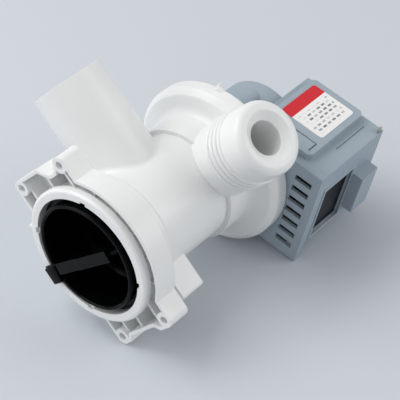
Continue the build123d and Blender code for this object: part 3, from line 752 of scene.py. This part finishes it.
def ring_bead(
    shape: bmesh.types.BMesh,
    centre: Vector,
    axis: Vector,
    out: Vector,
    radius_mm: float,
    bead_mm: float,
    sides: int = 10,
) -> None:
    """Adds a round bead that runs in a ring.

    Args:
        shape: mesh that takes the bead.
        centre: middle of the ring, in metres.
        axis: direction of the ring's axis.
        out: any direction across the axis.
        radius_mm: radius of the ring.
        bead_mm: radius of the bead's section.
        sides: number of facets round the section.
    """
    profile = []
    for k in range(sides + 1):
        turn = math.tau * k / sides
        reach = radius_mm + bead_mm * math.cos(turn)
        profile.append(centre + (out * reach + axis * (bead_mm * math.sin(turn))) * MM)
    lathe(shape, profile, centre, axis)


def round_edges(shape: bmesh.types.BMesh, edge_mm: float, segments: int) -> None:
    """Rounds every edge of a shape.

    Args:
        shape: mesh whose edges are rounded.
        edge_mm: radius of the rounding.
        segments: number of facets across it.
    """
    bmesh.ops.bevel(
        shape,
        geom=list(shape.edges),
        offset=edge_mm * MM,
        segments=segments,
        profile=0.5,
        affect="EDGES",
        clamp_overlap=True,
    )


def wedge(shape: bmesh.types.BMesh, outline: list[Vector], depth: Vector, edge_mm: float) -> None:
    """Adds a flat outline drawn out to a depth, with rounded edges.

    Args:
        shape: empty mesh that takes it.
        outline: corners in metres, all in one plane.
        depth: how far and which way it is drawn out, in metres.
        edge_mm: radius of the rounded edges.
    """
    face = shape.faces.new([shape.verts.new(corner) for corner in outline])
    grown = bmesh.ops.extrude_face_region(shape, geom=[face])
    moved = [item for item in grown["geom"] if isinstance(item, bmesh.types.BMVert)]
    bmesh.ops.translate(shape, verts=moved, vec=depth)
    round_edges(shape, edge_mm, segments=3)


@dataclass
class FilterMouth:
    """Small mouldings at the mouth: the nub on the collar, the web and the finger tab at the grip's ends."""

    collar_mm: float = 38.0
    nub_angle: float = 183.0
    nub_length_mm: float = 3.6
    nub_height_mm: float = 2.6
    nub_root_mm: float = 0.5
    nub_y_mm: Span = (-2.6, 0.6)
    nub_edge_mm: float = 0.35
    web_start_mm: float = 19.6
    web_end_mm: float = 28.2
    web_front_mm: Span = (-5.2, -1.6)
    web_back_mm: float = 9.0
    web_lean_mm: float = 0.6
    web_width_mm: float = 1.8
    web_offset_mm: float = -1.4
    web_edge_mm: float = 0.3
    tab_front_mm: float = -6.7
    tab_back_mm: float = -4.4
    tab_corners_mm: tuple[Span, ...] = ((-35.4, 0.9), (-26.2, 1.2), (-27.4, -8.4), (-34.6, -8.6))
    tab_edge_mm: float = 0.5

    def nub(self) -> bpy.types.Object:
        """Makes the nub on the collar's outer edge.

        Returns:
            The nub.
        """
        shape = bmesh.new()
        half = math.degrees(self.nub_length_mm / 2 / self.collar_mm)
        front, back = self.nub_y_mm
        top = self.collar_mm + self.nub_height_mm
        low = self.collar_mm - self.nub_root_mm
        outline = [
            polar(low, self.nub_angle - half, front),
            polar(top, self.nub_angle - half / 2, front),
            polar(top, self.nub_angle + half / 2, front),
            polar(low, self.nub_angle + half, front),
        ]
        wedge(shape, outline, SHAFT * ((back - front) * MM), self.nub_edge_mm)
        return Moulding("collar_nub", Body.PUMP, Slot.WHITE, WHITE_POLYPROPYLENE).place(shape)

    def web(self) -> bpy.types.Object:
        """Makes the thin web from the grip's end to the wall of the bowl.

        Returns:
            The web.
        """
        shape = bmesh.new()
        side = self.web_offset_mm - self.web_width_mm / 2
        outline = [
            GRIP.at(self.web_start_mm, side, self.web_front_mm[0]),
            GRIP.at(self.web_end_mm, side, self.web_front_mm[1]),
            GRIP.at(self.web_end_mm - self.web_lean_mm, side, self.web_back_mm),
            GRIP.at(self.web_start_mm, side, self.web_back_mm),
        ]
        wedge(shape, outline, GRIP.up * (self.web_width_mm * MM), self.web_edge_mm)
        return Moulding("grip_web", Body.FILTER, Slot.BLACK, BLACK_POLYPROPYLENE).place(shape)

    def tab(self) -> bpy.types.Object:
        """Makes the finger tab that hangs from the grip's left end, in front of the collar.

        Returns:
            The tab.
        """
        shape = bmesh.new()
        outline = [GRIP.at(side, up, self.tab_front_mm) for side, up in self.tab_corners_mm]
        wedge(shape, outline, SHAFT * ((self.tab_back_mm - self.tab_front_mm) * MM), self.tab_edge_mm)
        return Moulding("grip_tab", Body.FILTER, Slot.BLACK, BLACK_POLYPROPYLENE).place(shape)

    def build(self) -> None:
        """Makes the three mouldings."""
        self.nub()
        self.web()
        self.tab()


@dataclass
class WetEnd:
    """Small mouldings on the volute: weld bead, ridges on the nozzle and the latch on the rim."""

    weld_mm: float = 31.9
    weld_y_mm: float = 70.2
    weld_bead_mm: float = 0.5
    nozzle_mm: float = 19.1
    nozzle_y_mm: float = 80.2
    ridge_first_mm: float = 40.75
    ridge_pitch_mm: float = 3.5
    ridge_count: int = 4
    ridge_bead_mm: float = 1.3
    latch_angle: float = 89.3
    latch_foot_mm: float = 44.4
    latch_height_mm: float = 5.4
    latch_length_mm: float = 4.6
    latch_y_mm: Span = (98.0, 100.0)
    latch_edge_mm: float = 0.3

    def weld(self) -> bpy.types.Object:
        """Makes the bead that the weld presses out round the chamber.

        Returns:
            The bead.
        """
        shape = bmesh.new()
        ring_bead(shape, SHAFT * (self.weld_y_mm * MM), SHAFT, PORTS.side, self.weld_mm, self.weld_bead_mm)
        return Moulding("weld_bead", Body.PUMP, Slot.WHITE, WHITE_POLYPROPYLENE).place(shape)

    def ridges(self) -> bpy.types.Object:
        """Makes the round ridges that grip the hose.

        Returns:
            All ridges as one piece.
        """
        shape = bmesh.new()
        for k in range(self.ridge_count):
            centre = PORTS.at(self.ridge_first_mm + self.ridge_pitch_mm * k, 0.0, self.nozzle_y_mm)
            ring_bead(shape, centre, PORTS.side, PORTS.up, self.nozzle_mm, self.ridge_bead_mm)
        return Moulding("nozzle_ridges", Body.PUMP, Slot.WHITE, WHITE_POLYPROPYLENE).place(shape)

    def latch(self) -> bpy.types.Object:
        """Makes the pointed latch on the back rim of the disc.

        Returns:
            The latch.
        """
        shape = bmesh.new()
        reach = math.degrees(self.latch_length_mm / self.latch_foot_mm)
        front, back = self.latch_y_mm
        outline = [
            polar(self.latch_foot_mm, self.latch_angle + reach / 2, front),
            polar(self.latch_foot_mm + self.latch_height_mm, self.latch_angle - reach / 4, front),
            polar(self.latch_foot_mm, self.latch_angle - reach / 2, front),
        ]
        wedge(shape, outline, SHAFT * ((back - front) * MM), self.latch_edge_mm)
        return Moulding("rim_latch", Body.PUMP, Slot.WHITE, WHITE_POLYPROPYLENE).place(shape)

    def build(self) -> None:
        """Makes the three mouldings."""
        self.weld()
        self.ridges()
        self.latch()


@dataclass
class MotorShell:
    """Small mouldings on the motor: the post on the barrel and the lip round the yoke's window."""

    post_mm: float = 4.4
    post_reach_mm: float = 28.8
    post_angle: float = 94.9
    post_y_mm: Span = (105.1, 124.5)
    post_round_mm: float = 1.2
    post_bends: int = 4
    post_facets: int = 40
    face_mm: float = 60.8
    window_y_mm: Span = (108.4, 133.4)
    window_up_mm: Span = (-18.0, 18.0)
    lip_wide_mm: float = 1.5
    lip_high_mm: float = 0.6
    lip_root_mm: float = 0.4
    lip_edge_mm: float = 0.18

    def post(self) -> bpy.types.Object:
        """Makes the round-ended post along the top of the barrel.

        Returns:
            The post.
        """
        turn = math.radians(self.post_angle)
        across = self.post_reach_mm * math.cos(turn)
        above = self.post_reach_mm * math.sin(turn)
        front, back = self.post_y_mm
        profile = [MOTOR.at(across + self.post_mm, above, front)]
        for k in range(self.post_bends + 1):
            bend = math.pi / 2 * k / self.post_bends
            reach = self.post_mm - self.post_round_mm * (1.0 - math.cos(bend))
            ahead = back - self.post_round_mm * (1.0 - math.sin(bend))
            profile.append(MOTOR.at(across + reach, above, ahead))
        profile.append(MOTOR.at(across, above, back))
        shape = bmesh.new()
        lathe(shape, profile, MOTOR.at(across, above, front), SHAFT, steps=self.post_facets)
        return Moulding("barrel_post", Body.PUMP, Slot.GREY, GREY_POLYESTER).place(shape)

    def window_lip(self) -> bpy.types.Object:
        """Makes the thin raised lip round the window.

        Returns:
            The lip.
        """
        shape = bmesh.new()
        low, high = self.window_up_mm
        front, back = self.window_y_mm
        corners = [(front, low), (back, low), (back, high), (front, high)]
        signs = [(-1, -1), (1, -1), (1, 1), (-1, 1)]
        foot = self.face_mm - self.lip_root_mm
        crest = self.face_mm + self.lip_high_mm
        levels = [(0.0, foot), (0.0, crest), (self.lip_wide_mm, crest), (self.lip_wide_mm, foot)]
        loops = []
        for spread, level in levels:
            loop = []
            for (y_mm, up_mm), (sign_y, sign_up) in zip(corners, signs):
                corner = MOTOR.at(level, up_mm + sign_up * spread, y_mm + sign_y * spread)
                loop.append(shape.verts.new(corner))
            loops.append(loop)
        for inner, outer in zip(loops, loops[1:]):
            for k in range(len(corners)):
                after = (k + 1) % len(corners)
                shape.faces.new((inner[k], inner[after], outer[after], outer[k]))
        round_edges(shape, self.lip_edge_mm, segments=2)
        return Moulding("window_lip", Body.PUMP, Slot.GREY, GREY_POLYESTER).place(shape)

    def build(self) -> None:
        """Makes both mouldings."""
        self.post()
        self.window_lip()


@dataclass
class KeptNodes:
    """The CAD nodes that show as they are, with the finish that each one takes."""

    label_u_mm: float = 30.8
    label_y_mm: float = 134.6
    label_w_mm: float = 36.4
    label_colour: str = "#F1F1F0"
    label_roughness: float = 0.32

    def label_film(self) -> PrintedFilm:
        """Gives the label's finish, laid out from the label's own centre.

        Returns:
            The finish.
        """
        centre = MOTOR.at(self.label_u_mm, self.label_w_mm, self.label_y_mm) / MM
        # printed polypropylene film: flat and white with a soft sheen
        return PrintedFilm(
            "white label film, printed",
            self.label_colour,
            self.label_roughness,
            centre_mm=tuple(centre),
            across=tuple(MOTOR.side),
        )

    def finishes(self) -> dict[Finish, tuple[str, ...]]:
        """Lists which nodes share a finish.

        Returns:
            Node names by finish.
        """
        return {
            WHITE_POLYPROPYLENE: ("filter_housing", "volute_housing"),
            BLACK_POLYPROPYLENE: ("filter_cap",),
            NITRILE_RUBBER: (
                "cap_seal",
                "volute_seal",
                "shaft_seal",
                "thrust_washer_front",
                "thrust_washer_rear",
            ),
            BLACK_NYLON: ("filter_basket", "drive_dog", "coil_bobbin_upper", "coil_bobbin_lower"),
            NATURAL_ACETAL: ("impeller", "hub_plug", "rotor_sleeve"),
            GREY_POLYESTER: ("motor_endplate", "motor_housing"),
            DARK_POLYESTER: ("rotor_can", "bearing_carrier"),
            GROUND_STEEL: ("rotor_shaft",),
            SINTERED_FERRITE: ("rotor_magnet",),
            SINTERED_BRONZE: ("front_bearing", "rear_bearing"),
            SHEET_STACK: ("stator_yoke",),
            WOUND_COPPER: ("winding_upper", "winding_lower"),
            TINNED_BRASS: ("terminal_blades", "earth_tab"),
            self.label_film(): ("rating_label",),
        }

    def build(self) -> None:
        """Gives every kept node its finish."""
        for finish, names in self.finishes().items():
            material = finish.build()
            for name in names:
                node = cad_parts[name]
                node.data.materials.clear()
                node.data.materials.append(material)
                LOG.info("%s is %s", name, finish.name)


def main() -> None:
    """Builds the classes in order and reports them."""
    logging.basicConfig(level=logging.INFO, format="%(name)s: %(message)s")
    PhotoCamera().build()
    Studio().build()
    KeptNodes().build()
    FilterMouth().build()
    WetEnd().build()
    MotorShell().build()
    LOG.info("sizes written")


if __name__ == "__main__":
    main()
